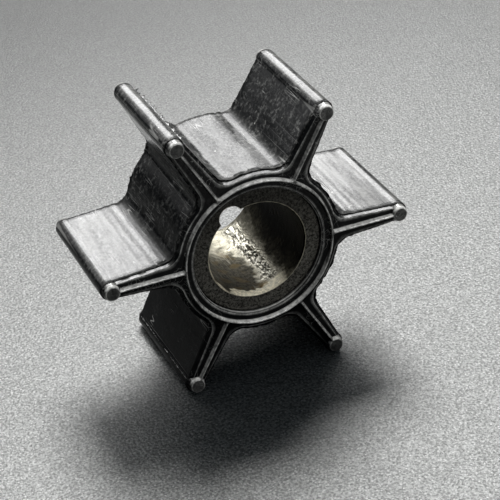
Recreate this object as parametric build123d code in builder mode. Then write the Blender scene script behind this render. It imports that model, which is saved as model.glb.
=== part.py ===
"""Flexible-vane pump impeller: rubber hub and vanes moulded round a metal bush.

The shaft axis runs along Y, with the origin on it at mid-length. The impeller lies on two of its vane tips.
"""

import os

from build123d import *

# Driving dimensions, in millimetres and degrees.
BORE_DIAMETER = 14.7  # runs on the pump shaft
BORE_CHAMFER = 0.2
BUSH_WALL = 2.5
BUSH_LENGTH = 19.4
PIN_SLOT_WIDTH = 3.5  # round-bottomed keyway for the drive pin
PIN_SLOT_DEPTH = 1.5  # beyond the bore
PIN_SLOT_VANE = 3  # the vane over the keyway, counted round from a resting one

HUB_WALL = 2.85  # rubber over the bush
VANE_COUNT = 6
VANE_REACH = 9.5  # from the hub's surface to the centre of the tip bead
VANE_ROOT_THICKNESS = 4.0
VANE_TIP_THICKNESS = 2.8
BEAD_DIAMETER = 3.0
ROOT_FILLET = 2.2
BODY_LENGTH = 19.7  # of the rubber at its full outline

SHOULDER_INSET = 0.16  # ledge round the shoulder at each end
SHOULDER_HEIGHT = 0.5
SHOULDER_DRAFT = 37
SEAL_WIDTH = 0.6  # ridge that wipes the pump's end covers
SEAL_HEIGHT = 0.65
SEAL_DRAFT = 6
SEAL_CORNER_FILLET = 0.3
PAD_DIAMETER = 2.76  # round pad on each tip bead, level with the ridge
PAD_DRAFT = 14
RECESS_CHAMFER = 0.2  # round the recess that the bush lies in

# Sizes that follow from them.
BORE_RADIUS = BORE_DIAMETER / 2
BUSH_RADIUS = BORE_RADIUS + BUSH_WALL
HUB_RADIUS = BUSH_RADIUS + HUB_WALL
TIP_CIRCLE_RADIUS = HUB_RADIUS + VANE_REACH
SEAL_RING_RADIUS = BUSH_RADIUS + HUB_WALL / 2
END_STEP = SHOULDER_HEIGHT + SEAL_HEIGHT
VANE_PITCH = 360 / VANE_COUNT

# Sketches lie square to the shaft, with their X along one of the two vanes that the impeller rests on.
MIDDLE = Plane.XZ.rotated((0, 90 - VANE_PITCH / 2, 0))
BODY_END = MIDDLE.offset(BODY_LENGTH / 2)
SHOULDER_END = BODY_END.offset(SHOULDER_HEIGHT)


def distance_from_axis(vertex):
    """Distance of a sketch vertex from the shaft axis."""
    return (vertex.X**2 + vertex.Y**2) ** 0.5


def is_on_bush(edge):
    """Whether a round edge has the outer radius of the bush."""
    return abs(edge.radius - BUSH_RADIUS) < 1e-6


def vane_outline(inset=0):
    """Hub with tapered vanes, filleted roots and round tip beads, all drawn in by one margin."""
    taper = (VANE_ROOT_THICKNESS - VANE_TIP_THICKNESS) / 2 / VANE_REACH
    tip_half = VANE_TIP_THICKNESS / 2 - inset
    inner_half = VANE_ROOT_THICKNESS / 2 + taper * HUB_WALL - inset
    with BuildSketch() as outline:
        Circle(HUB_RADIUS - inset)
        with PolarLocations(0, VANE_COUNT):
            Polygon(
                (BUSH_RADIUS, -inner_half),
                (TIP_CIRCLE_RADIUS, -tip_half),
                (TIP_CIRCLE_RADIUS, tip_half),
                (BUSH_RADIUS, inner_half),
                align=None,
            )
        roots = outline.vertices().group_by(distance_from_axis)[0]
        fillet(roots, radius=ROOT_FILLET + inset)
        with PolarLocations(TIP_CIRCLE_RADIUS, VANE_COUNT):
            Circle(BEAD_DIAMETER / 2 - inset)
    return outline.sketch


def seal_outline():
    """Ring round the hub, with a straight ridge along the middle of each vane."""
    with BuildSketch() as outline:
        Circle(SEAL_RING_RADIUS + SEAL_WIDTH / 2)
        with PolarLocations((SEAL_RING_RADIUS + TIP_CIRCLE_RADIUS) / 2, VANE_COUNT):
            Rectangle(TIP_CIRCLE_RADIUS - SEAL_RING_RADIUS, SEAL_WIDTH)
        corners = outline.vertices().group_by(distance_from_axis)[0]
        fillet(corners, radius=SEAL_CORNER_FILLET)
        Circle(SEAL_RING_RADIUS - SEAL_WIDTH / 2, mode=Mode.SUBTRACT)
    return outline.sketch


# The rubber is one moulding: the body at its full outline and, at each end, a shoulder that is stepped in,
# with the seal ridge and the tip pads standing on it.
with BuildPart() as rubber_impeller:
    with BuildSketch(MIDDLE):
        add(vane_outline())
    extrude(amount=BODY_LENGTH / 2)
    with BuildSketch(BODY_END):
        add(vane_outline(SHOULDER_INSET))
    extrude(amount=SHOULDER_HEIGHT, taper=SHOULDER_DRAFT)
    with BuildSketch(SHOULDER_END):
        add(seal_outline())
    extrude(amount=SEAL_HEIGHT, taper=SEAL_DRAFT)
    with BuildSketch(BODY_END):
        with PolarLocations(TIP_CIRCLE_RADIUS, VANE_COUNT):
            Circle(PAD_DIAMETER / 2)
    extrude(amount=END_STEP, taper=PAD_DRAFT)
    with BuildSketch(MIDDLE):
        Circle(BUSH_RADIUS)
    extrude(amount=BODY_LENGTH / 2 + END_STEP, mode=Mode.SUBTRACT)
    recess_edges = rubber_impeller.edges().filter_by(GeomType.CIRCLE).filter_by(is_on_bush)
    chamfer(recess_edges.sort_by(Axis.Y)[0], length=RECESS_CHAMFER)
    mirror(about=Plane.XZ)
rubber_impeller.part.label = "rubber_impeller"

# The bush is turned, slotted for the drive pin and chamfered at both ends.
with BuildPart() as hub_bush:
    with BuildSketch(MIDDLE):
        Circle(BUSH_RADIUS)
        Circle(BORE_RADIUS, mode=Mode.SUBTRACT)
        slot_centre = BORE_RADIUS + PIN_SLOT_DEPTH - PIN_SLOT_WIDTH / 2
        with PolarLocations(slot_centre, 1, start_angle=PIN_SLOT_VANE * VANE_PITCH):
            Circle(PIN_SLOT_WIDTH / 2, mode=Mode.SUBTRACT)
    extrude(amount=BUSH_LENGTH / 2, both=True)
    inner_edges = hub_bush.edges().filter_by(GeomType.CIRCLE).filter_by(is_on_bush, reverse=True)
    chamfer(inner_edges, length=BORE_CHAMFER)
hub_bush.part.label = "hub_bush"

os.makedirs("parts", exist_ok=True)
export_step(rubber_impeller.part, "parts/rubber_impeller.step")
export_step(hub_bush.part, "parts/hub_bush.step")
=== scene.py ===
"""Rubber pump impeller: a machined metal bush with a rubber hub and six flexible vanes moulded round it.

The impeller stands on two of its vane tips, with its shaft axis along Y. Shapes are in millimetres.
"""

import math
from types import SimpleNamespace

import bmesh
import bpy
import numpy as np
from mathutils import Matrix, Vector


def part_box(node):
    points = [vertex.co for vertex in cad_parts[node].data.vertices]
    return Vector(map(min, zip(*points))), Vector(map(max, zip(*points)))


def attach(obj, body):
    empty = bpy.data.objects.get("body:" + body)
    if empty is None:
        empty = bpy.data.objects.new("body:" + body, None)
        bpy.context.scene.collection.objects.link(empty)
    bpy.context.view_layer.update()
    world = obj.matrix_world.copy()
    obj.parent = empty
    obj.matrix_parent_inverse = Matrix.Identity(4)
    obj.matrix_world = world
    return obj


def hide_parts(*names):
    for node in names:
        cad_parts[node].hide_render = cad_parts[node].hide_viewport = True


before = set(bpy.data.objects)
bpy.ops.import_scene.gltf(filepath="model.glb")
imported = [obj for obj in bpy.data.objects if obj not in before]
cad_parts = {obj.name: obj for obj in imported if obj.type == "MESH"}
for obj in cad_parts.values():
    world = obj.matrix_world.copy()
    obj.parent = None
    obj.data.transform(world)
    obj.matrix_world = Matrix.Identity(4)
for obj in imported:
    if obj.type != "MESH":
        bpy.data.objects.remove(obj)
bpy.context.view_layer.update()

# --- Hub bush ---------------------------------------------------------------------------------------
# The sleeve that runs on the pump shaft. It is turned from a copper alloy and slotted for the drive pin,
# then laid in the mould. Salt water has pitted its bore and browned its ends.
MM = 0.001
bush_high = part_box("hub_bush")[1]
BUSH_RADIUS = bush_high.x / MM
BUSH_END = bush_high.y / MM
BORE_RADIUS = 7.35
SLOT_ANGLE = 120
SLOT_RADIUS = 1.75
SLOT_CENTRE = 7.1  # of the slot's round bottom, from the shaft axis
RIM_WIDTH = 0.2
BURR = 0.045  # how far the rim's burr stands out from the bush's end
END_EDGE = 0.14  # width of the rounding round the outside of the bush's end
BUSH_SEAT_GAP = 0.01  # keeps the bush's skin just inside the rubber's
PIT_ANGLE = 293  # the low side of the bore, where water stood
PIT_SPREAD = 7.5
PIT_HALF_ANGLE = 28  # over which the mesh is fine enough for the pits
PIT_DEPTH = 0.12
FLAKE_RISE = 0.13
CRUST_WAVES = ((1.0, 2.0, 12), (0.5, 0.9, 13), (0.2, 0.4, 17))  # share, length in mm and seed
FACE_ROWS = 14
BORE_ROWS = 176

# Colours of the alloy, in pairs where a grain runs from dark to pale, and of what lies on it, some of which
# also paint highlights, and of painted shade.
ALLOY = (0.10, 0.094, 0.072, 1), (0.29, 0.273, 0.217, 1)
FLAKES_AND_HIGHLIGHT = (0.10, 0.09, 0.07, 1), (0.96, 0.93, 0.80, 1)
TARNISH = (0.012, 0.011, 0.007, 1), (0.066, 0.06, 0.042, 1)
END_GRAIN = (0.022, 0.021, 0.019, 1), (0.29, 0.279, 0.25, 1)
PAINTED_END_SHADE = (0.01, 0.01, 0.009, 1)
OCHRE_STAIN = (0.085, 0.060, 0.022, 1)
SCRATCHED_ALLOY = (0.15, 0.14, 0.115, 1)
PAINTED_BORE_SHADE = (0.0015, 0.0012, 0.001, 1)
HOLLOW_FLOOR = (0.035, 0.029, 0.018, 1)
LIME_SCALE_AND_RIM_HIGHLIGHT = (0.80, 0.74, 0.56, 1)


def soft_noise(points, wavelength, seed, waves=20):
    """Sum of sine waves of random direction and phase with lengths near one wavelength, about -1 to 1."""
    rng = np.random.default_rng(seed)
    heading = rng.normal(size=(waves, points.shape[-1]))
    heading /= np.linalg.norm(heading, axis=1, keepdims=True)
    length = wavelength * rng.uniform(0.7, 1.5, waves)
    turns = points @ (heading / length[:, None]).T + rng.uniform(0, 1, waves)
    return np.sin(2 * np.pi * turns).sum(-1) / math.sqrt(waves)


def ease(value, start, end):
    """Smooth step from 0 at start to 1 at end."""
    t = np.clip((value - start) / (end - start), 0, 1)
    return t * t * (3 - 2 * t)


def grid_faces(rows, columns, first, closed):
    """Quads between the rows of a grid whose points are numbered row by row from first."""
    row = np.arange(rows - 1)[:, None] * columns + first
    column = np.arange(columns if closed else columns - 1)
    beside = (column + 1) % columns
    corners = [row + column, row + beside, row + columns + beside, row + columns + column]
    return np.stack(corners, -1).reshape(-1, 4)


def skin_piece(name, patches, marks=()):
    """One closed mesh from grids of points in mm, each (points, closed), merged where borders meet."""
    points, faces, first = [], [], 0
    for patch, closed in patches:
        rows, columns = patch.shape[:2]
        points.append(patch.reshape(-1, 3))
        faces.append(grid_faces(rows, columns, first, closed))
        first += rows * columns
    mesh = bpy.data.meshes.new(name)
    mesh.from_pydata(np.concatenate(points) * MM, [], np.concatenate(faces))
    for label, values in marks:
        mesh.attributes.new(label, "FLOAT", "POINT").data.foreach_set("value", values.astype(np.float32))
    work = bmesh.new()
    work.from_mesh(mesh)
    bmesh.ops.remove_doubles(work, verts=work.verts, dist=0.0005 * MM)
    bmesh.ops.dissolve_degenerate(work, edges=work.edges, dist=0.0002 * MM)
    bmesh.ops.recalc_face_normals(work, faces=work.faces)
    work.to_mesh(mesh)
    work.free()
    mesh.shade_smooth()
    piece = bpy.data.objects.new(name, mesh)
    bpy.context.scene.collection.objects.link(piece)
    return piece


def round_shaft(radius, turn, y):
    """Points at a radius and an angle in radians round the shaft axis, at y."""
    return np.stack(np.broadcast_arrays(radius * np.cos(turn), y, radius * np.sin(turn)), -1)


def slot_half_angle():
    """Angle from the slot's middle to its edge in the bore, where the two circles cross."""
    cosine = (BORE_RADIUS**2 + SLOT_CENTRE**2 - SLOT_RADIUS**2) / (2 * BORE_RADIUS * SLOT_CENTRE)
    return math.degrees(math.acos(cosine))


def bush_angles():
    """Angles round the bush in degrees, closer together in the slot and along the pitted strip."""
    half = slot_half_angle()
    stops = [SLOT_ANGLE - half, SLOT_ANGLE + half]
    stops += [PIT_ANGLE - PIT_HALF_ANGLE, PIT_ANGLE + PIT_HALF_ANGLE, SLOT_ANGLE - half + 360]
    counts = (26, 100, 104, 120)
    spans = [np.linspace(a, b, count, endpoint=False) for a, b, count in zip(stops, stops[1:], counts)]
    return np.concatenate(spans)


def bore_outline(angles):
    """Radius of the bore at each angle: the shaft's circle, or the slot's where that reaches further."""
    turn = np.radians(angles - SLOT_ANGLE)
    reach = SLOT_RADIUS**2 - (SLOT_CENTRE * np.sin(turn)) ** 2
    slot = SLOT_CENTRE * np.cos(turn) + np.sqrt(np.clip(reach, 0, None))
    inside = np.abs((angles - SLOT_ANGLE + 180) % 360 - 180) < slot_half_angle()
    return np.where(inside, slot, BORE_RADIUS)


def crust_relief(points, beyond):
    """Relief of the scaly strip in mm, deeper positive, with masks of its hollows and of the strip.

    The flakes are a sum of sine waves on bent coordinates. Where the sum passes zero lies a crack, and the
    further it is from zero, the more a flake stands up. The strip fades as exp(-x^2) either side.
    """
    drawn = points * (1, 0.6, 1)
    drawn = drawn + 0.25 * np.stack([soft_noise(drawn, 0.8, seed) for seed in (18, 19, 20)], -1)
    flakes = sum(share * soft_noise(drawn, length, seed) for share, length, seed in CRUST_WAVES)
    strip = np.exp(-(((beyond + 2.5 * soft_noise(points, 2.6, 14)) / PIT_SPREAD) ** 2))
    strip *= ease(8.8 - np.abs(points[..., 1] - 0.6), 0, 1.5)
    few = ease(soft_noise(points, 3.2, 15) + soft_noise(points, 0.6, 16), 1.7, 2.4)
    cracks = (1 - ease(np.abs(flakes), 0.06, 0.36)) * ease(soft_noise(points, 1.5, 11), -0.7, 0.2)
    hollow = strip * cracks + 0.4 * few
    return PIT_DEPTH * hollow - FLAKE_RISE * strip * np.abs(flakes), hollow, strip


def bush_section():
    """The bush's section once round, as rows of (share of the way from bore to outside, added mm, y)."""
    outer = [(1, 0, y) for y in np.linspace(BUSH_END - 0.3, 0.3 - BUSH_END, 5)]
    edge = [(1, -0.05, 0.06 - BUSH_END), (1, -END_EDGE, -BUSH_END)]
    shares = np.linspace(0.93, 0.07, FACE_ROWS)
    face = [(share, (1 - share) * 1.2 * RIM_WIDTH - share * END_EDGE, -BUSH_END) for share in shares]
    rim = [(0, 1.2 * RIM_WIDTH, -BUSH_END), (0, 0.95 * RIM_WIDTH, -0.7 * BURR - BUSH_END)]
    rim += [(0, 0.75 * RIM_WIDTH, -BURR - BUSH_END), (0, 0.5 * RIM_WIDTH, 0.1 * RIM_WIDTH - BUSH_END)]
    rim += [(0, 0.1 * RIM_WIDTH, 0.7 * RIM_WIDTH - BUSH_END), (0, 0, 1.2 * RIM_WIDTH - BUSH_END)]
    bore = [(0, 0, y) for y in np.linspace(0.32 - BUSH_END, BUSH_END - 0.32, BORE_ROWS)]
    far = [(share, step, -y) for share, step, y in reversed(edge + face + rim)]
    return np.array(outer + edge + face + rim + bore + far)


bush_turn = bush_angles()
share, step, along = (column[:, None] for column in bush_section().T)
inner = bore_outline(bush_turn)[None, :]
spoke = np.radians(bush_turn)[None, :]
bush_radius = inner + share * (BUSH_RADIUS - BUSH_SEAT_GAP - inner) + step
in_bore = (share == 0) & (np.abs(along) < BUSH_END - 0.01)
on_face = (share > 0) & (share < 1)
on_rim = (share == 0) & (step > 0) & (step < RIM_WIDTH)
round_bush = round_shaft(bush_radius, spoke, along)
beyond = (bush_turn[None, :] - PIT_ANGLE + 180) % 360 - 180  # degrees past the pitted strip
relief, hollow, crust_and_highlight = crust_relief(round_bush, beyond)
fade = np.where(in_bore, 1 - ease(np.abs(along), BUSH_END - 0.9, BUSH_END - 0.3), 0)
swell = 0.02 * soft_noise(round_bush, 1.6, 3) + 0.03 * soft_noise(round_bush, 4.5, 4)
rim_wear = np.where(on_rim, 0.012 * (1 + soft_noise(round_bush, 0.8, 5)), 0)
bush_radius = bush_radius + relief * fade + np.where(in_bore, 0.35 * swell, 0) + rim_wear
bush_y = along + np.where(on_face, -np.sign(along) * 0.008 * (1 + soft_noise(round_bush, 0.7, 6)), 0)
bush_points = round_shaft(bush_radius, spoke, bush_y)
bush_points = np.concatenate([bush_points, bush_points[:1]])

# Marks for the finish, 0 to 1: hollows, brown tarnish, ochre stain, painted shade on the bore's far right
# side, the flaky strip, which is partly a painted highlight, and lime scale. The rim has no tarnish and
# carries the strip's and the lime scale's marks, which paint it pale as a highlight.
ragged = 4 * soft_noise(round_bush, 2.5, 9) + 2 * soft_noise(round_bush, 0.8, 10)
mouth_width = 1.6 * np.exp(-(((beyond - 2) / 12) ** 2)) - 0.9 * ease(-beyond, 15, 60)
mouth = ease(-along + mouth_width + 0.16 * ragged, 8.0, 8.7) * (1 - ease(beyond + ragged, 4, 22))
left_side = ease(-beyond + ragged, 9, 18) * (1 - ease(along + 0.35 * ragged, 0.0, 5.0))
right_side = ease(beyond + ragged - 14 * ease(along, -1, 8), 8, 20)
tarnish = np.where(in_bore, np.clip(left_side + right_side, 0, 1) * (1 - mouth) * (1 - 0.8 * crust_and_highlight), 1.0)
stain = ease(-along + 0.12 * ragged, 6.6, 7.8) * (1 - mouth) * ease(20 - np.abs(beyond + 12), 0, 12)
stain = np.maximum(stain, 0.6 * left_side * ease(soft_noise(round_bush, 2.2, 8), 0.2, 1.0))
# Painted shade: the bore's far right side, which lies in shade, is painted near black.
painted_bore_shade = ease(beyond + ragged - 16 * ease(along, -1, 8), 12, 42)
marks = {
    "hollow": np.where(in_bore, np.clip(1.3 * hollow, 0, 1), 0),
    "tarnish": np.where(on_rim, 0, tarnish),
    "stain": np.where(in_bore, stain, 0),
    "painted_bore_shade": np.where(in_bore, painted_bore_shade, 0),
    "crust_and_highlight": np.where(in_bore, crust_and_highlight, on_rim),
    "scale": np.where(in_bore, mouth, 0.8 * on_rim),
}
marks = [(label, np.concatenate([mark, mark[:1]]).ravel()) for label, mark in marks.items()]
bush = skin_piece("shaft_bush", [(bush_points, True)], marks)


def add(tree, kind, **settings):
    """A shader node with its properties and, for names that are its sockets, their values."""
    node = tree.nodes.new(kind)
    for name, value in settings.items():
        socket = name.replace("_", " ")
        if socket in node.inputs:
            node.inputs[socket].default_value = value
        else:
            setattr(node, name, value)
    return node


def scratch_group():
    """Shader group: fine scratches that run roughly along Y, as a mask from 0 to 1 broken up in patches."""
    group = bpy.data.node_groups.new("fine scratches", "ShaderNodeTree")
    for name, start in (("Scale", 1.0), ("Width", 0.03), ("Tilt", 0.1)):
        socket = group.interface.new_socket(name, in_out="INPUT", socket_type="NodeSocketFloat")
        socket.default_value = start
    group.interface.new_socket("Mask", in_out="OUTPUT", socket_type="NodeSocketFloat")
    link = group.links.new
    given = add(group, "NodeGroupInput")
    result = add(group, "NodeGroupOutput")
    place = add(group, "ShaderNodeTexCoord").outputs["Object"]
    drift = add(group, "ShaderNodeTexNoise", Scale=160.0, Detail=1.0)
    bend = add(group, "ShaderNodeVectorMath", operation="SCALE")
    moved = add(group, "ShaderNodeVectorMath", operation="MULTIPLY_ADD")
    moved.inputs[1].default_value = (1500.0, 70.0, 1500.0)
    link(place, drift.inputs["Vector"])
    link(drift.outputs["Color"], bend.inputs[0])
    link(given.outputs["Tilt"], bend.inputs["Scale"])
    link(place, moved.inputs[0])
    link(bend.outputs["Vector"], moved.inputs[2])
    lines = add(group, "ShaderNodeTexNoise", Detail=0.0)
    link(moved.outputs["Vector"], lines.inputs["Vector"])
    link(given.outputs["Scale"], lines.inputs["Scale"])
    off = add(group, "ShaderNodeMath", operation="SUBTRACT")
    off.inputs[1].default_value = 0.5
    size = add(group, "ShaderNodeMath", operation="ABSOLUTE")
    thin = add(group, "ShaderNodeMapRange", interpolation_type="SMOOTHSTEP")
    thin.inputs["To Min"].default_value = 1.0
    thin.inputs["To Max"].default_value = 0.0
    link(lines.outputs["Fac"], off.inputs[0])
    link(off.outputs["Value"], size.inputs[0])
    link(size.outputs["Value"], thin.inputs["Value"])
    link(given.outputs["Width"], thin.inputs["From Max"])
    patches = add(group, "ShaderNodeTexNoise", Scale=220.0, Detail=2.0)
    link(place, patches.inputs["Vector"])
    some = add(group, "ShaderNodeMapRange", interpolation_type="SMOOTHSTEP")
    some.inputs["From Min"].default_value = 0.52
    some.inputs["From Max"].default_value = 0.64
    link(patches.outputs["Fac"], some.inputs["Value"])
    both = add(group, "ShaderNodeMath", operation="MULTIPLY")
    link(thin.outputs["Result"], both.inputs[0])
    link(some.outputs["Result"], both.inputs[1])
    link(both.outputs["Value"], result.inputs["Mask"])
    return group


scratches = scratch_group()


def new_material(name):
    """An empty node material and its tree."""
    material = bpy.data.materials.new(name)
    material.use_nodes = True
    material.node_tree.nodes.clear()
    return material, material.node_tree


def mix_colour(tree, factor, first, second):
    """A colour mix node. Each of the three inputs is an output socket or a plain value."""
    node = add(tree, "ShaderNodeMix", data_type="RGBA")
    for value, socket in ((factor, node.inputs[0]), (first, node.inputs[6]), (second, node.inputs[7])):
        if isinstance(value, bpy.types.NodeSocket):
            tree.links.new(value, socket)
        else:
            socket.default_value = value
    return node.outputs[2]


def mapped(tree, value, start, end, low=0.0, high=1.0):
    """Value carried from the range start to end onto low to high, with soft ends."""
    node = add(tree, "ShaderNodeMapRange", interpolation_type="SMOOTHSTEP")
    for name, setting in (("From Min", start), ("From Max", end), ("To Min", low), ("To Max", high)):
        node.inputs[name].default_value = setting
    tree.links.new(value, node.inputs["Value"])
    return node.outputs["Result"]


def worked(tree, operation, first, second):
    """A maths node's result. Each input is an output socket or a plain value."""
    node = add(tree, "ShaderNodeMath", operation=operation)
    for value, socket in ((first, node.inputs[0]), (second, node.inputs[1])):
        if isinstance(value, bpy.types.NodeSocket):
            tree.links.new(value, socket)
        else:
            socket.default_value = value
    return node.outputs["Value"]


def product(tree, first, *others):
    """The product of any number of sockets or plain values."""
    for other in others:
        first = worked(tree, "MULTIPLY", first, other)
    return first


def noise(tree, place, scale, detail, roughness=0.5):
    """A noise texture's value, about 0.3 to 0.7, at the given coordinates."""
    node = add(tree, "ShaderNodeTexNoise", Scale=scale, Detail=detail, Roughness=roughness)
    tree.links.new(place, node.inputs["Vector"])
    return node.outputs["Fac"]


def bump(tree, height, distance, under=None):
    """A bump node that raises by distance in metres, on top of another bump node where one is given."""
    node = add(tree, "ShaderNodeBump", Strength=1.0, Distance=distance)
    tree.links.new(height, node.inputs["Height"])
    if under:
        tree.links.new(under.outputs["Normal"], node.inputs["Normal"])
    return node


def axis_of(tree, vector, axis):
    """The X, Y or Z of a vector socket."""
    node = add(tree, "ShaderNodeSeparateXYZ")
    tree.links.new(vector, node.inputs["Vector"])
    return node.outputs[axis]


def mark(tree, label):
    """One of the marks that a piece's points carry."""
    return add(tree, "ShaderNodeAttribute", attribute_name=label).outputs["Fac"]


def bush_metal():
    """Worn copper alloy: cream lime scale, a cream rim that is a painted highlight, tarnished brown and
    ochre, a flaky strip that is partly a painted highlight, gritty ends, and painted shade in the bore and
    on the ends' upper part.
    """
    material, tree = new_material("worn bush metal")
    link = tree.links.new
    place = add(tree, "ShaderNodeTexCoord").outputs["Object"]
    normal = add(tree, "ShaderNodeNewGeometry").outputs["Normal"]
    cloud = noise(tree, place, 500.0, 8.0, 0.75)
    fine = noise(tree, place, 1900.0, 5.0, 0.7)
    grit = noise(tree, place, 2600.0, 5.0, 0.85)
    lines = add(tree, "ShaderNodeGroup", node_tree=scratches)
    lines.inputs["Width"].default_value = 0.03
    # The bore: bright, or flaky where pale flakes also paint the strip's highlight, then tarnished,
    # stained, scratched, painted near black as shade on its far right side, and dark in its hollows.
    specks = mapped(tree, fine, 0.36, 0.64)
    bright = mix_colour(tree, mapped(tree, cloud, 0.36, 0.64), *ALLOY)
    flaky_and_highlight = mix_colour(tree, specks, *FLAKES_AND_HIGHLIGHT)
    dull = mix_colour(tree, specks, *TARNISH)
    colour = mix_colour(tree, mark(tree, "crust_and_highlight"), bright, flaky_and_highlight)
    colour = mix_colour(tree, mark(tree, "tarnish"), colour, dull)
    colour = mix_colour(tree, mark(tree, "stain"), colour, OCHRE_STAIN)
    colour = mix_colour(tree, lines.outputs["Mask"], colour, SCRATCHED_ALLOY)
    colour = mix_colour(tree, mark(tree, "painted_bore_shade"), colour, PAINTED_BORE_SHADE)
    colour = mix_colour(tree, mark(tree, "hollow"), colour, HOLLOW_FLOOR)
    # The end faces: a gritty grain, with painted shade towards the top, where the rubber's recess shades
    # them.
    end = mapped(tree, worked(tree, "ABSOLUTE", axis_of(tree, normal, "Y"), 0.0), 0.8, 0.95)
    turned = mix_colour(tree, mapped(tree, grit, 0.38, 0.62), *END_GRAIN)
    upper = mapped(tree, axis_of(tree, place, "Z"), -0.004, 0.009, 0.0, 0.6)
    turned = mix_colour(tree, upper, turned, PAINTED_END_SHADE)
    colour = mix_colour(tree, end, colour, turned)
    # Lime scale at the bore's mouth; on the rim the same pale colour is a painted highlight.
    lime_and_rim_highlight = product(tree, mark(tree, "scale"), mapped(tree, fine, 0.38, 0.6, 0.4, 1.0))
    colour = mix_colour(tree, lime_and_rim_highlight, colour, LIME_SCALE_AND_RIM_HIGHLIGHT)
    lumps = bump(tree, cloud, 0.00008, bump(tree, fine, 0.00003))
    oxide = worked(tree, "MAXIMUM", mark(tree, "scale"), product(tree, mark(tree, "crust_and_highlight"), 0.35))
    shader = add(tree, "ShaderNodeBsdfPrincipled")
    link(mapped(tree, oxide, 0.0, 1.0, 1.0, 0.15), shader.inputs["Metallic"])
    link(mapped(tree, mark(tree, "tarnish"), 0.0, 1.0, 0.42, 0.6), shader.inputs["Roughness"])
    link(colour, shader.inputs["Base Color"])
    link(lumps.outputs["Normal"], shader.inputs["Normal"])
    link(shader.outputs["BSDF"], add(tree, "ShaderNodeOutputMaterial").inputs["Surface"])
    return material


bush.data.materials.append(bush_metal())
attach(bush, "root")
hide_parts("hub_bush")

# --- Rubber hub and vanes ---------------------------------------------------------------------------
# One moulding of black rubber round the bush: the hub's wall, six tapered vanes with round tip beads and,
# at each end, a stepped-in shoulder with the seal ridge and tip pads. The mould's joint has left a ragged
# lip of flash along both ends of the outline.
rubber_low, rubber_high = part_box("rubber_impeller")
VANES = 6
PITCH = 360 / VANES
HUB_RADIUS = 12.7
TIP_CIRCLE = 22.2
BEAD_RADIUS = rubber_high.x / MM - TIP_CIRCLE - 0.003
ROOT_HALF = 2.0
TIP_HALF = 1.4
ROOT_FILLET = 2.2
LEDGE_END = 9.85  # y of the end ledges
SHOULDER_HEIGHT = 0.5
CROWN = rubber_high.y / MM
SEAL_RING = 11.275
CORNER_FILLET = 0.3
PAD_RADIUS = 1.38
PAD_DRAFT = math.tan(math.radians(14))
FLASH_LIP = 0.07
RECESS_CHAMFER = 0.25
WALL_ROWS = 13
FIN_HEIGHTS = (0.05, 0.05, 0.42, 0.0, 0.06, 0.2)  # of the torn flash along each vane's bead
SKIN_UNEVENNESS = 0.03
RIPPLE_DEPTH = 0.003

# Profiles in mm. The wall's edge: how far drawn in, and the rise above the ledge, in lips where above 0.
WALL_EDGE = ((0, -0.12), (0.008, -0.03), (0.02, 0.5), (0.045, 1), (0.075, 0.6), (0.1, 0), (0.13, 0))
# The shoulder's riser: how far drawn in, and the rise above the ledge.
RISER = ((0.15, 0.01), (0.18, 0.05), (0.25, 0.14), (0.4, 0.34), (0.47, 0.43), (0.52, 0.48), (0.57, 0.5))
# The seal ridge's side, from foot to crown: half width, rise, and how much the pad's rim is rounded there.
RIDGE_SIDE = ((0.31, 0.02, 0), (0.29, 0.06, 0), (0.265, 0.22, 0), (0.245, 0.34, 0))
RIDGE_SIDE += ((0.215, 0.41, 0.005), (0.12, 0.56, 0.02), (0.07, 0.62, 0.05))
# How far the flash stands out over the first rows of the wall's edge, and how much it lifts them.
FLASH_STAND = (0.25, 0.9, 1.0, 0.7, 0.2)
FLASH_RISE = (0, 0.018, 0.081, 0.09, 0.054)

RUBBER_BLACK = (0.005, 0.0055, 0.006, 1)
SCUFFED_RUBBER = (0.011, 0.0115, 0.012, 1)
SMUDGE = (0.50, 0.50, 0.48, 1)
SCRATCH = (0.46, 0.46, 0.445, 1)
# Pale dust, which on faces that look up also paints their sheen and highlights.
DUST_AND_SHEEN = (0.42, 0.42, 0.40, 1)
# Pale rubbed edges, and on the ridges' upward sides a painted highlight.
RUBBED_EDGE_AND_HIGHLIGHT = (0.80, 0.80, 0.77, 1)
DUST_SPECK = (0.62, 0.62, 0.58, 1)

# Points along one half of a vane: bead, start of the flank, flank, root fillet (in two parts) and hub.
BEAD, NECK, FLANK, CORNER, ROOT, HUB = 17, 6, 38, 6, 14, 15
RIM_POINTS = BEAD + NECK  # of the tip pad, on one half
RIB_END = RIM_POINTS + FLANK + CORNER
HALF_POINTS = RIB_END + ROOT + HUB + 1


def arc(centre, radius, start, end, count):
    """Points of an arc from one angle towards another, in radians, without its last point."""
    turn = np.linspace(start, end, count, endpoint=False)
    return np.stack([centre[0] + radius * np.cos(turn), centre[1] + radius * np.sin(turn)], -1)


def run(first, last, count):
    """Evenly spaced points from first towards last, without the last."""
    share = np.linspace(0, 1, count, endpoint=False)[:, None]
    return np.asarray(first) * (1 - share) + np.asarray(last) * share


def flank_half(u, inset):
    """Half the vane's thickness at distance u from the shaft axis."""
    return ROOT_HALF - inset + (TIP_HALF - ROOT_HALF) * (u - HUB_RADIUS) / (TIP_CIRCLE - HUB_RADIUS)


def neck_angle(inset, bead):
    """Angle, from the vane's outward axis, at which a bead circle meets the drawn-in flank."""
    slope = (TIP_HALF - ROOT_HALF) / (TIP_CIRCLE - HUB_RADIUS)
    half = TIP_HALF - inset
    square = 1 + slope**2
    reach = (-slope * half - math.sqrt((slope * half) ** 2 - square * (half**2 - bead**2))) / square
    return math.atan2(half + slope * reach, reach)


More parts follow.
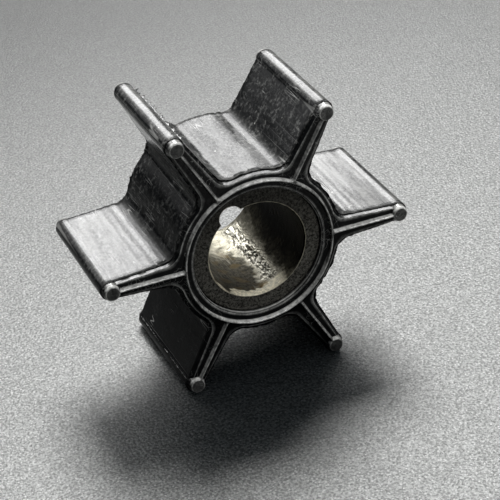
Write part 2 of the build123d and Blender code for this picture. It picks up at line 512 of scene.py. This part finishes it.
def vane_line(inset, bead):
    """Half a vane's outline drawn in by inset: bead, tapered flank, root fillet, then the hub's arc."""
    hub, fillet = HUB_RADIUS - inset, ROOT_FILLET + inset
    neck = neck_angle(inset, bead)
    root_u, root_v = HUB_RADIUS, flank_half(HUB_RADIUS, inset)
    along = np.array([TIP_CIRCLE - HUB_RADIUS, TIP_HALF - ROOT_HALF])
    along /= np.linalg.norm(along)
    square = np.array([-along[1], along[0]])
    start = np.array([root_u, root_v]) + square * fillet
    lean = start @ along
    centre = start + along * (-lean + math.sqrt(lean**2 - start @ start + (hub + fillet) ** 2))
    flank_start = np.array([TIP_CIRCLE + bead * math.cos(neck), bead * math.sin(neck)])
    flank_end = centre - square * fillet
    neck_end = flank_start + (flank_end - flank_start) * 0.16
    first = math.atan2(*(flank_end - centre)[::-1])
    hub_angle = math.atan2(centre[1], centre[0])
    last = hub_angle - math.pi
    middle = math.radians(PITCH / 2)
    return np.concatenate([
        arc((TIP_CIRCLE, 0), bead, 0, neck, BEAD),
        run(flank_start, neck_end, NECK),
        run(neck_end, flank_end, FLANK),
        arc(centre, fillet, first, last, CORNER + ROOT),
        arc((0, 0), hub, hub_angle, middle, HUB),
        [[hub * math.cos(middle), hub * math.sin(middle)]],
    ])


def seal_line(half, pad, neck):
    """Half of the seal ridge's edge round one vane: pad, rib, corner fillet, then the ring's outside."""
    mouth = math.pi - math.asin(half / pad)
    ring = SEAL_RING + half
    corner = CORNER_FILLET + 0.28 - half
    centre = np.array([math.sqrt((ring + corner) ** 2 - (half + corner) ** 2), half + corner])
    inner = math.atan2(centre[1], centre[0])
    middle = math.radians(PITCH / 2)
    turn = math.radians(14.5)
    return np.concatenate([
        arc((TIP_CIRCLE, 0), pad, 0, neck, BEAD),
        arc((TIP_CIRCLE, 0), pad, neck, mouth, NECK),
        run((TIP_CIRCLE - pad * math.cos(math.asin(half / pad)), half), (centre[0], half), FLANK),
        arc(centre, corner, -math.pi / 2, inner - math.pi, CORNER),
        arc((0, 0), ring, inner, turn, ROOT),
        arc((0, 0), ring, turn, middle, HUB),
        [[ring * math.cos(middle), ring * math.sin(middle)]],
    ])


def round_hub(half):
    """The half outline mirrored over its vane and repeated for all six, as (x, z), once round the hub."""
    left = half[:0:-1] * [1, -1]
    sector = np.concatenate([left, half[:-1]])
    turn = np.radians(np.arange(VANES) * PITCH)[:, None]
    x = sector[:, 0] * np.cos(turn) - sector[:, 1] * np.sin(turn)
    z = sector[:, 0] * np.sin(turn) + sector[:, 1] * np.cos(turn)
    return np.stack([x.ravel(), z.ravel()], -1)


def half_heights(height):
    """One height repeated for every point of the half outline."""
    return np.full(HALF_POINTS, height)


def end_rows():
    """Rows of half outlines and their heights from mid-length, from the wall's edge to the crown."""
    rows = []
    top = LEDGE_END + SHOULDER_HEIGHT
    neck = neck_angle(0.5, PAD_RADIUS - PAD_DRAFT * SHOULDER_HEIGHT)
    for inset, rise in WALL_EDGE:
        height = LEDGE_END + (rise * FLASH_LIP if rise > 0 else rise)
        rows.append((vane_line(inset, BEAD_RADIUS - 0.7 * inset), half_heights(height)))
    # The riser of the shoulder, which on the bead is the side of the pad instead.
    for inset, rise in RISER:
        pad = PAD_RADIUS - PAD_DRAFT * rise + max(0.03 - rise, 0)
        rows.append((vane_line(inset, pad), half_heights(LEDGE_END + rise)))
    # The shoulder's flat top, which narrows to nothing along the pad.
    outer = rows[-1][0]
    foot = seal_line(0.34, PAD_RADIUS - PAD_DRAFT * SHOULDER_HEIGHT - 0.004, neck)
    for share in (0.33, 0.67, 1):
        rows.append((outer * (1 - share) + foot * share, half_heights(top)))
    for half, rise, rounding in RIDGE_SIDE:
        pad = PAD_RADIUS - PAD_DRAFT * (SHOULDER_HEIGHT + rise) - rounding
        rows.append((seal_line(half, pad, neck), half_heights(top + rise)))
    return rows


half_rows = end_rows()
outline_rows = np.stack([round_hub(line) for line, _ in half_rows])
CROWN_EDGE = half_rows[-1][1][0]


def tell_ragged(points, seed, torn):
    """How far the flash stands out along the edge: an uneven lip, 0 to 1, with a few tabs of torn more."""
    lip = 0.35 + 0.3 * soft_noise(points, 2.4, seed) + 0.35 * soft_noise(points, 0.7, seed + 1)
    tabs = ease(soft_noise(points, 3.1, seed + 2) + 0.7 * soft_noise(points, 0.8, seed + 3), 0.8, 1.3)
    return np.clip(lip, 0, 1) + torn * tabs


def outward(points):
    """Unit directions square to a closed outline, away from its inside."""
    ahead = np.roll(points, -1, 0) - np.roll(points, 1, 0)
    ahead /= np.linalg.norm(ahead, axis=1, keepdims=True)
    return np.stack([ahead[:, 1], -ahead[:, 0]], -1)


def end_skin(side, seed, tabs, lift):
    """The rows of one end as points in mm, with its flash. side is -1 at the front and 1 at the back.

    tabs is how far torn bits of flash stand out by the hub, and lift how far its wavy edge does.
    """
    outline = outline_rows[0]
    radius = np.hypot(*outline.T)
    by_hub = 1 - ease(radius, 13.8, 15.4)
    on_bead = ease(radius, TIP_CIRCLE - 2, TIP_CIRCLE - 0.5)
    torn = tell_ragged(np.column_stack([outline, np.full(len(outline), 9.0 * side)]), seed, tabs * by_hub)
    wavy = np.clip(0.5 + 0.4 * soft_noise(outline, 1.8, seed + 5), 0, 1)
    stand_out = (torn * (0.03 + 0.05 * by_hub) + lift * by_hub * wavy) * (1 - on_bead)
    skin = []
    for number, (row, (_, height)) in enumerate(zip(outline_rows, half_rows)):
        y = np.full(len(row), height[0])
        if number < len(FLASH_STAND):
            row = row + outward(outline) * (FLASH_STAND[number] * stand_out - 0.01)[:, None]
            y = y + FLASH_RISE[number] * (torn - 0.3)
        skin.append(np.stack([row[:, 0], side * y, row[:, 1]], -1))
    return np.stack(skin)


front = end_skin(-1, 21, 0.5, 0.2)
back = end_skin(1, 31, 1.8, 0.0)
wall_share = np.linspace(0, 1, WALL_ROWS + 2)[1:-1]
wall_share = 0.5 - 0.5 * np.cos(np.pi * (0.12 + 0.76 * wall_share)) / math.cos(0.12 * math.pi)
wall_y = (wall_share * 2 - 1) * (LEDGE_END - 0.3)
wall_ring = round_hub(vane_line(0, BEAD_RADIUS))
wall = np.stack([np.insert(wall_ring, 1, y, axis=1) for y in wall_y])
rubber_skin = np.concatenate([front[::-1], wall, back])


def bead_fin(vane, height):
    """A thin torn fin along one bead, on its clockwise side: rows along Y of a narrow closed section."""
    y = np.linspace(0.4 - LEDGE_END, LEDGE_END - 0.4, 110)[:, None]
    torn = np.clip(0.35 + 0.5 * soft_noise(y, 1.7, 51 + vane), 0, 1) + 0.45 * soft_noise(y, 0.6, 61 + vane)
    tall = height * np.clip(torn, -0.1, 1.3)
    tall[[0, -1]] = -0.06
    across = np.array([(-0.1, -0.06), (-0.03, 0), (-0.02, 1), (0.02, 1), (0.03, 0), (0.1, -0.06)])
    up = np.where(across[:, 1] > 0, tall[:, None], across[:, 1])
    u = TIP_CIRCLE - 0.1 + across[:, 0] + 0 * tall[:, None]
    v = -(BEAD_RADIUS - 0.01 + up)
    turn = math.radians(vane * PITCH)
    spots = (u * math.cos(turn) - v * math.sin(turn), y + 0 * u, u * math.sin(turn) + v * math.cos(turn))
    rows = np.stack(spots, -1)
    ends = [np.repeat(row.mean(0)[None, None], rows.shape[1], 1) for row in (rows[0], rows[-1])]
    return np.concatenate([ends[0], rows, ends[1]])


def placed(local, height, side, vane):
    """Points of one vane's own (u, v) with their heights, turned to that vane and put at one end, in mm."""
    turn = math.radians(vane * PITCH)
    x = local[..., 0] * math.cos(turn) - local[..., 1] * math.sin(turn)
    z = local[..., 0] * math.sin(turn) + local[..., 1] * math.cos(turn)
    return np.stack([x, side * height, z], -1)


ACROSS = np.array([1, 0.55, 0, -0.55, -1])
crown_rise = (CROWN - CROWN_EDGE) * np.array([0, 0.8, 1, 0.8, 0])
crown_line = half_rows[-1][0]


def rib_top():
    """The rib's crown: rows from one edge of the ridge over to the other, from the pad to the ring."""
    edge = crown_line[RIM_POINTS : RIB_END + 1]
    local = np.stack([np.broadcast_to(edge[:, None, 0], (len(edge), 5)), edge[:, None, 1] * ACROSS], -1)
    return local, CROWN_EDGE + np.broadcast_to(crown_rise, (len(edge), 5))


def pad_top():
    """The tip pad's end: its rim, closed over the rib's mouth, drawn in ring by ring to the middle."""
    edge = crown_line[: RIM_POINTS + 1]
    rim = np.concatenate([edge[:0:-1] * [1, -1], edge])
    mouth = rib_top()[0][0, 1:-1]
    rim = np.concatenate([rim, mouth])
    height = np.concatenate([np.full(len(rim) - 3, CROWN_EDGE), CROWN_EDGE + crown_rise[1:-1]])
    rings = np.array([1, 0.95, 0.85, 0.5, 0])[:, None, None]
    local = (TIP_CIRCLE, 0) + (rim - (TIP_CIRCLE, 0)) * rings
    heights = np.stack([height, np.maximum(height, CROWN - 0.004)] + [np.full(len(rim), CROWN)] * 3)
    return local, heights


def ring_loop():
    """One vane's share of the ring's crown edge: from mid-pocket over the rib's foot to mid-pocket."""
    foot = rib_top()[0][-1]
    edge = crown_line[RIB_END + 1 :]
    local = np.concatenate([edge[::-1] * [1, -1], foot[::-1], edge[:-1]])
    height = np.full(len(local), CROWN_EDGE)
    height[len(edge) : len(edge) + 5] += crown_rise
    return local, height


patches = [(rubber_skin, True)]
patches += [(bead_fin(vane, height), True) for vane, height in enumerate(FIN_HEIGHTS) if height]
for side in (-1, 1):
    for vane in range(VANES):
        for shape, closed in ((rib_top(), False), (pad_top(), True)):
            patches.append((placed(*shape, side, vane), closed))

loop, loop_height = ring_loop()
loop_turn = np.arctan2(loop[:, 1], loop[:, 0])


def ring_row(radius, height, side):
    """A row of the ring's own grid: one radius and height at the angle of every point of its outer edge."""
    turn = (loop_turn + np.radians(np.arange(VANES) * PITCH)[:, None]).ravel()
    return round_shaft(radius, turn, side * height)


def ring_inside(side):
    """Rows from the ring's crown inwards: its inner side, the flat band, the recess's chamfer and wall."""
    top = LEDGE_END + SHOULDER_HEIGHT
    edge = np.concatenate([placed(loop, loop_height, side, vane) for vane in range(VANES)])
    rows = [edge, ring_row(SEAL_RING, CROWN, side)]
    for half, rise, _ in RIDGE_SIDE[::-1]:
        rows.append(ring_row(SEAL_RING - half, top + rise, side))
    rows.append(ring_row(SEAL_RING - 0.33, top, side))
    rim = BUSH_RADIUS + RECESS_CHAMFER
    band = [(10.7, top), (10.4, top), (rim + 0.06, top)]
    chamfer = [(rim, top - 0.02), (rim - 0.03, top - 0.06)]
    chamfer += [(BUSH_RADIUS + 0.05, top - 0.19), (BUSH_RADIUS + 0.01, top - 0.24)]
    recess = [(BUSH_RADIUS, height) for height in (top - 0.34, BUSH_END + 0.1, BUSH_END - 0.2)]
    return rows + [ring_row(radius, height, side) for radius, height in band + chamfer + recess]


core = [ring_row(BUSH_RADIUS, abs(y), math.copysign(1, y)) for y in np.linspace(-8, 8, 5)]
patches.append((np.stack(ring_inside(-1) + core + ring_inside(1)[::-1]), True))
rubber = skin_piece("moulded_rubber", patches)


def along_vane(points):
    """The nearest vane's number, with the distance along it from the shaft axis and square to it, in mm."""
    turn = np.arctan2(points[:, 2], points[:, 0])
    vane = np.round(turn / math.radians(PITCH))
    off = turn - vane * math.radians(PITCH)
    radius = np.hypot(points[:, 0], points[:, 2])
    return vane, radius * np.cos(off), radius * np.sin(off)


def root_ripples(points):
    """The faint waves that bending has left across each vane near its root, 0 to 1."""
    vane, reach, aside = along_vane(points)
    wave = 0.5 + 0.5 * np.sin(2 * np.pi * (reach / 1.25 + 0.37 * vane + 0.2 * np.sign(aside)))
    wave = np.clip(wave + 0.25 * soft_noise(points * (1, 0.15, 1), 0.9, 45), 0, 1)
    return wave * ease(reach, 12.6, 13.6) * (1 - ease(reach, 15.5, 19))


def roughen(piece):
    """Draws each point in along its normal by a small uneven depth, as on worn rubber that has crept."""
    mesh = piece.data
    points = np.empty(len(mesh.vertices) * 3, np.float32)
    normals = np.empty(len(mesh.vertices) * 3, np.float32)
    mesh.vertices.foreach_get("co", points)
    mesh.vertex_normals.foreach_get("vector", normals)
    points = points.reshape(-1, 3) / MM
    normals = normals.reshape(-1, 3)
    uneven = 0.5 + 0.35 * soft_noise(points, 6, 41) + 0.2 * soft_noise(points, 1.8, 42)
    depth = SKIN_UNEVENNESS * np.clip(uneven, 0, 1.2)
    depth += RIPPLE_DEPTH * root_ripples(points) * (np.abs(normals[:, 1]) < 0.3)
    points = points - normals * depth[:, None]
    mesh.vertices.foreach_set("co", (points * MM).ravel())
    mesh.update()


def mark_wear_and_highlight(piece):
    """Marks where the rubber is rubbed pale or painted pale as a highlight (wear_and_highlight), smooth
    (glossy) and free of dust or matt (bare).

    A point's bend is the mean over its edges of (change of normal . change of place) / length^2, which is
    above 0 where the skin turns outward. Sharp bends and the ridge's crown are rubbed, and the ridge's
    upper side, where it faces up, is painted pale as a highlight. The ends are glossy. Root ripples and
    fillets are bare up to 1.5. Fins and flash are bare 2, which is matt.
    """
    mesh = piece.data
    count = len(mesh.vertices)
    points, normals = np.empty(count * 3, np.float32), np.empty(count * 3, np.float32)
    pairs = np.empty(len(mesh.edges) * 2, np.int32)
    mesh.vertices.foreach_get("co", points)
    mesh.vertex_normals.foreach_get("vector", normals)
    mesh.edges.foreach_get("vertices", pairs)
    points, normals, pairs = points.reshape(-1, 3) / MM, normals.reshape(-1, 3), pairs.reshape(-1, 2)
    gap = points[pairs[:, 0]] - points[pairs[:, 1]]
    bend = ((normals[pairs[:, 0]] - normals[pairs[:, 1]]) * gap).sum(1) / np.maximum((gap**2).sum(1), 1e-3)
    total = np.bincount(pairs.ravel(), np.repeat(bend, 2), count)
    sharp = total / np.maximum(np.bincount(pairs.ravel(), minlength=count), 1)
    end = np.abs(points[:, 1])
    facing_along, facing_up = np.abs(normals[:, 1]), normals[:, 2]
    _, reach, aside = along_vane(points)
    from_tip = np.hypot(reach - TIP_CIRCLE, aside)
    on_fin = (from_tip > BEAD_RADIUS + 0.003) & (np.abs(reach - TIP_CIRCLE + 0.1) < 0.2) & (aside < 0)
    crown = ease(end, 10.8, 10.95) * np.maximum(ease(from_tip, 0.9, 1.15), 0.8)
    # Painted highlight: the ridge's side is painted pale where it faces up.
    painted_ridge_highlight = ease(end, LEDGE_END + 0.55, LEDGE_END + 0.7) * ease(facing_up, 0.2, 0.7)
    wear_and_highlight = np.maximum(np.maximum(ease(sharp, 0.8, 3.5), 0.22 * crown), painted_ridge_highlight) * ~on_fin
    past_ledge = ease(end, LEDGE_END + 0.1, LEDGE_END + 0.2)
    wear_and_highlight *= 1 - ease(end, LEDGE_END - 0.3, LEDGE_END - 0.1) * (1 - past_ledge)
    glossy = ease(end, LEDGE_END + 0.05, LEDGE_END + 0.15)
    bare = np.maximum(root_ripples(points), 0.7 * (1 - ease(np.hypot(reach, aside), 13.8, 14.8)))
    spokes = points * (1, 0, 1) / np.maximum(np.hypot(points[:, 0], points[:, 2]), 1)[:, None]
    facing_out = (normals * spokes).sum(1)
    in_fillet = (facing_out > 0.2) & (facing_out < 0.9) & (facing_along < 0.3)
    in_fillet &= (reach > 12.8) & (reach < 15.8)
    bare = np.maximum(bare, 1.5 * in_fillet)
    bare[on_fin | (np.abs(end - LEDGE_END) < 0.125)] = 2
    for label, values in (("wear_and_highlight", wear_and_highlight), ("glossy", glossy), ("bare", bare)):
        mesh.attributes.new(label, "FLOAT", "POINT").data.foreach_set("value", values.astype(np.float32))


roughen(rubber)
mark_wear_and_highlight(rubber)


def drawn_out(tree, place, share):
    """Coordinates with Y made smaller, so that a texture read there is drawn out along the shaft."""
    node = add(tree, "ShaderNodeVectorMath", operation="MULTIPLY")
    node.inputs[1].default_value = (1.0, share, 1.0)
    tree.links.new(place, node.inputs[0])
    return node.outputs["Vector"]


def rubber_sources(tree):
    """The sockets that the rubber's finish is mixed from.

    place and height are where a point lies, and up and along how far it faces up and along the shaft.
    cloud, blotch and grit are noises from coarse to fine, and streak is one drawn out along Y. drifts is
    how thickly dust lies, and kept is how much of it stays on.
    """
    place = add(tree, "ShaderNodeTexCoord").outputs["Object"]
    normal = add(tree, "ShaderNodeNewGeometry").outputs["Normal"]
    drawn = drawn_out(tree, place, 0.1)
    blotch = noise(tree, place, 1600.0, 4.0, 0.65)
    streak = noise(tree, drawn, 1100.0, 3.0, 0.6)
    thick = mapped(tree, blotch, 0.34, 0.66, 0.24, 0.5)
    bare = mark(tree, "bare")
    return SimpleNamespace(
        place=place,
        drawn=drawn,
        up=axis_of(tree, normal, "Z"),
        along=worked(tree, "ABSOLUTE", axis_of(tree, normal, "Y"), 0.0),
        height=axis_of(tree, place, "Z"),
        cloud=noise(tree, place, 420.0, 5.0, 0.65),
        blotch=blotch,
        grit=noise(tree, place, 3600.0, 3.0, 0.6),
        streak=streak,
        drifts=product(tree, thick, mapped(tree, streak, 0.35, 0.65, 0.3, 1.0)),
        bare=bare,
        kept=mapped(tree, bare, 0.1, 0.9, 1.0, 0.3),
        glossy=mark(tree, "glossy"),
        wear_and_highlight=mark(tree, "wear_and_highlight"),
    )


def scratch_mask(tree, source):
    """Short scratches, and hairlines right along the vanes where a drawn-out noise passes its middle value.

    The hairlines come in patches, keep off the ends and are faint on faces that look up.
    """
    lines = add(tree, "ShaderNodeGroup", node_tree=scratches)
    lines.inputs["Width"].default_value = 0.02
    hair = noise(tree, drawn_out(tree, source.place, 0.02), 560.0, 0.0)
    off = worked(tree, "ABSOLUTE", worked(tree, "SUBTRACT", hair, 0.5), 0.0)
    hairline = product(
        tree,
        mapped(tree, off, 0.004, 0.012, 1.0, 0.0),
        mapped(tree, noise(tree, source.drawn, 260.0, 1.0), 0.46, 0.56, 0.0, 0.6),
        mapped(tree, source.along, 0.2, 0.5, 1.0, 0.0),
        mapped(tree, source.up, 0.55, 0.85, 1.0, 0.12),
    )
    return worked(tree, "MAXIMUM", lines.outputs["Mask"], hairline)


def speck_mask(tree, place):
    """Round specks in about a fifth of a Voronoi pattern's cells."""
    cell = add(tree, "ShaderNodeTexVoronoi", Scale=520.0, Randomness=1.0)
    tree.links.new(place, cell.inputs["Vector"])
    chosen = mapped(tree, axis_of(tree, cell.outputs["Color"], "X"), 0.76, 0.8)
    return product(tree, mapped(tree, cell.outputs["Distance"], 0.03, 0.1, 1.0, 0.0), chosen)


def rubber_colour(tree, source):
    """Black with scuffs, then smudges, fewer low down as painted shade, scratches, dust and painted sheen
    on upper faces, painted highlights on the ends' upward faces and the ridges' upper sides, rubbed edges
    and specks.
    """
    black = mix_colour(tree, mapped(tree, source.cloud, 0.42, 0.72), RUBBER_BLACK, SCUFFED_RUBBER)
    smudge_and_painted_shade = product(
        tree,
        mapped(tree, source.cloud, 0.40, 0.62, 0.3, 1.0),
        mapped(tree, source.blotch, 0.47, 0.67, 0.0, 0.42),
        mapped(tree, source.glossy, 0.0, 1.0, 0.9, 0.1),
        # Partly painted shade and partly less handling: smudges thin out towards the bottom, leaving the
        # lower vanes darker.
        mapped(tree, source.height, -0.012, 0.014, 0.06, 1.0),
    )
    # Painted highlight: a pale film on the ends' upward faces, such as the shoulders' risers, the ridges
    # and the pads.
    painted_end_highlight = product(tree, mapped(tree, source.blotch, 0.3, 0.6, 0.5, 0.95), source.glossy)
    loose = product(tree, source.drifts, source.kept)
    # Dust and painted sheen: dust on faces that look up, which also paints their sheen, together with the
    # ends' painted highlight.
    dust_and_sheen = product(tree, mapped(tree, source.up, 0.55, 1.0), worked(tree, "MAXIMUM", loose, painted_end_highlight))
    rubbed_and_highlight = product(
        tree,
        source.wear_and_highlight,
        mapped(tree, source.blotch, 0.36, 0.6, 0.4, 1.0),
        mapped(tree, source.cloud, 0.38, 0.56, 0.55, 1.0),
    )
    colour = mix_colour(tree, smudge_and_painted_shade, black, SMUDGE)
    colour = mix_colour(tree, scratch_mask(tree, source), colour, SCRATCH)
    colour = mix_colour(tree, dust_and_sheen, colour, DUST_AND_SHEEN)
    colour = mix_colour(tree, rubbed_and_highlight, colour, RUBBED_EDGE_AND_HIGHLIGHT)
    return mix_colour(tree, speck_mask(tree, source.place), colour, DUST_SPECK)


def rubber_polish(tree, source):
    """The shine of handled rubber: on high or upward faces, less on ends, under dust and at bends."""
    high = mapped(tree, source.height, -0.006, 0.016, 0.02, 1.0)
    return product(
        tree,
        worked(tree, "MAXIMUM", high, mapped(tree, source.up, 0.55, 0.8)),
        mapped(tree, source.along, 0.93, 0.985, 1.0, 0.2),
        mapped(tree, source.drifts, 0.0, 0.6, 1.0, 0.55),
        mapped(tree, source.kept, 0.3, 1.0, 0.62, 1.0),
        mapped(tree, source.bare, 1.2, 1.8, 1.0, 0.0),
        mapped(tree, source.grit, 0.38, 0.60, 0.55, 1.0),
        mapped(tree, source.streak, 0.36, 0.62, 0.6, 1.0),
    )


def rubber_roughness(tree, source):
    """Satin in clouds, duller under dust on upper faces and matt on torn flash."""
    satin = mapped(tree, source.cloud, 0.3, 0.7, 0.16, 0.28)
    dusty = mapped(tree, source.drifts, 0.0, 0.6, 0.0, 0.3)
    dull = product(tree, dusty, mapped(tree, source.up, 0.55, 1.0), source.kept)
    matt = mapped(tree, source.bare, 1.2, 1.8, 0.0, 0.45)
    return worked(tree, "ADD", worked(tree, "ADD", satin, dull), matt)


def rubber_finish():
    """Worn black rubber under a polish, with grain, mottle and flow streaks in relief, less on the ends."""
    material, tree = new_material("worn black rubber")
    link = tree.links.new
    source = rubber_sources(tree)
    grain = bump(tree, source.grit, 0.000012)
    mottle = bump(tree, source.blotch, 0.000022, grain)
    flow = bump(tree, source.streak, 0.00002, mottle)
    strength = mapped(tree, source.glossy, 0.0, 1.0, 1.0, 0.35)
    for relief in (grain, mottle, flow):
        link(strength, relief.inputs["Strength"])
    shader = add(tree, "ShaderNodeBsdfPrincipled", IOR=1.17, Coat_IOR=2.0, Coat_Roughness=0.14)
    link(rubber_colour(tree, source), shader.inputs["Base Color"])
    link(rubber_roughness(tree, source), shader.inputs["Roughness"])
    link(rubber_polish(tree, source), shader.inputs["Coat Weight"])
    link(flow.outputs["Normal"], shader.inputs["Normal"])
    link(shader.outputs["BSDF"], add(tree, "ShaderNodeOutputMaterial").inputs["Surface"])
    return material


rubber.data.materials.append(rubber_finish())
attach(rubber, "root")
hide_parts("rubber_impeller")

# --- Floor ------------------------------------------------------------------------------------------
# A pale floor, painted in a satin grey with a fine grain, with painted light: darker at the back, paler at
# the front, and painted glints at the front. It is level with the two vane tips that the impeller stands
# on.
FLOOR_HALF_WIDTH = 1.6
# The grains are darker at the back and paler at the front as painted light.
DARK_GRAIN = (0.145, 0.147, 0.142, 1), (0.27, 0.274, 0.265, 1)  # at the back and at the front
PALE_GRAIN = (0.195, 0.198, 0.191, 1), (0.74, 0.75, 0.726, 1)
PAINTED_GLINT = (1.0, 1.0, 0.98, 1)
floor_mesh = bpy.data.meshes.new("floor")
corners = FLOOR_HALF_WIDTH * np.array([(-1, -1, 0), (1, -1, 0), (1, 1, 0), (-1, 1, 0)])
corners = corners + (0, 0, rubber_low.z)
floor_mesh.from_pydata(corners, [], [(0, 1, 2, 3)])
floor = bpy.data.objects.new("floor", floor_mesh)
bpy.context.scene.collection.objects.link(floor)


def floor_paint():
    """Satin grey with painted light, darker at the back and paler towards the front, with a fine speckle
    and, at the front, small painted glints.
    """
    material, tree = new_material("pale floor")
    link = tree.links.new
    place = add(tree, "ShaderNodeTexCoord").outputs["Object"]
    speckle = noise(tree, place, 2500.0, 2.0, 0.6)
    nearness = mapped(tree, worked(tree, "MULTIPLY", axis_of(tree, place, "Y"), -1.0), -0.16, 0.06)
    dark_grain = mix_colour(tree, nearness, *DARK_GRAIN)
    pale_grain = mix_colour(tree, nearness, *PALE_GRAIN)
    grained = mix_colour(tree, mapped(tree, speckle, 0.38, 0.62), dark_grain, pale_grain)
    cell = add(tree, "ShaderNodeTexVoronoi", Scale=1900.0, Randomness=1.0)
    link(place, cell.inputs["Vector"])
    painted_glint = product(
        tree,
        nearness,
        mapped(tree, cell.outputs["Distance"], 0.22, 0.38, 1.0, 0.0),
        mapped(tree, axis_of(tree, cell.outputs["Color"], "X"), 0.25, 0.35),
    )
    grain = bump(tree, speckle, 0.00014)
    link(mapped(tree, nearness, 0.0, 1.0, 0.8, 1.4), grain.inputs["Strength"])
    shader = add(tree, "ShaderNodeBsdfPrincipled", Roughness=0.36, IOR=1.8)
    link(mix_colour(tree, painted_glint, grained, PAINTED_GLINT), shader.inputs["Base Color"])
    link(grain.outputs["Normal"], shader.inputs["Normal"])
    link(shader.outputs["BSDF"], add(tree, "ShaderNodeOutputMaterial").inputs["Surface"])
    return material


floor_mesh.materials.append(floor_paint())

# --- Light ------------------------------------------------------------------------------------------
# A key soft box and a wide one light the impeller and the floor from behind. A back panel, two strips above
# and a faint low card at the back left are flagged off the floor. The room is dim and slightly cool.
ROOM_COLOUR = (0.75, 0.88, 1.0, 1)
ROOM_STRENGTH = 0.028


def soft_box(name, direction, along, width, height, radiance):
    """A rectangular lamp 1 m away that faces the impeller, with its width along a given way."""
    lamp = bpy.data.lights.new(name, "AREA")
    lamp.shape = "RECTANGLE"
    lamp.size = width
    lamp.size_y = height
    lamp.energy = radiance * math.pi * width * height
    box = bpy.data.objects.new(name, lamp)
    bpy.context.scene.collection.objects.link(box)
    towards = Vector(direction).normalized()
    side = Vector(along)
    side = (side - towards * side.dot(towards)).normalized()
    turned = Matrix((side, towards.cross(side), towards)).transposed()
    box.matrix_world = Matrix.Translation(towards) @ turned.to_4x4()
    return box


soft_box("key soft box", (0.261, 0.587, 0.766), (1, 0, 0), width=0.38, height=0.38, radiance=15.0)
soft_box("wide back box", (0.129, 0.71, 0.70), (1, 0, 0), width=1.05, height=0.66, radiance=1.4)
flagged = [
    soft_box("back panel", (0.165, 0.83, 0.53), (1, 0, 0), width=0.62, height=0.30, radiance=4.6),
    soft_box(
        "overhead strip", (0.30, -0.27, 0.91), (1.15, 0.26, -0.30), width=1.2, height=0.14, radiance=10.5
    ),
    soft_box("cross strip", (-0.05, 0.47, 0.87), (1, 0, 0), width=1.6, height=0.10, radiance=6.0),
    soft_box("low back card", (-0.60, 0.78, 0.30), (1, 0.77, 0), width=0.9, height=0.3, radiance=0.3),
]
impeller_only = bpy.data.collections.new("flagged off the floor")
for piece in (bush, rubber):
    impeller_only.objects.link(piece)
for lamp in flagged:
    lamp.light_linking.receiver_collection = impeller_only
world = bpy.data.worlds.new("room")
world.use_nodes = True
background = world.node_tree.nodes["Background"]
background.inputs["Color"].default_value = ROOM_COLOUR
background.inputs["Strength"].default_value = ROOM_STRENGTH
bpy.context.scene.world = world

# --- Camera -----------------------------------------------------------------------------------------
# The impeller is seen from the front, a little left of the shaft axis and 31 degrees above it, with the
# camera turned slightly on its own axis.
VIEW_AZIMUTH = math.radians(-21.43)
VIEW_HEIGHT = math.radians(30.97)
VIEW_ROLL = math.radians(-4.01)
VIEW_DISTANCE = 0.2561
FOCAL_PIXELS = 1753.3
PICTURE_PIXELS = 500
AIM_RIGHT = 0.00244
AIM_UP = -0.00457
AIM_BACK = -0.000146
back_way = Vector((
    math.sin(VIEW_AZIMUTH) * math.cos(VIEW_HEIGHT),
    -math.cos(VIEW_AZIMUTH) * math.cos(VIEW_HEIGHT),
    math.sin(VIEW_HEIGHT),
))
right_way = (-back_way).cross(Vector((0, 0, 1))).normalized()
up_way = right_way.cross(-back_way)
aim = right_way * AIM_RIGHT + up_way * AIM_UP + Vector((0, AIM_BACK, 0))
turned = Matrix((right_way, up_way, back_way)).transposed() @ Matrix.Rotation(VIEW_ROLL, 3, "Z")
camera_data = bpy.data.cameras.new("camera")
camera_data.sensor_width = 36
camera_data.lens = FOCAL_PIXELS / PICTURE_PIXELS * camera_data.sensor_width
camera_data.clip_start = 0.01
camera = bpy.data.objects.new("camera", camera_data)
camera.matrix_world = Matrix.Translation(aim + back_way * VIEW_DISTANCE) @ turned.to_4x4()
bpy.context.scene.collection.objects.link(camera)
bpy.context.scene.camera = camera
bpy.context.scene.view_settings.view_transform = "Standard"
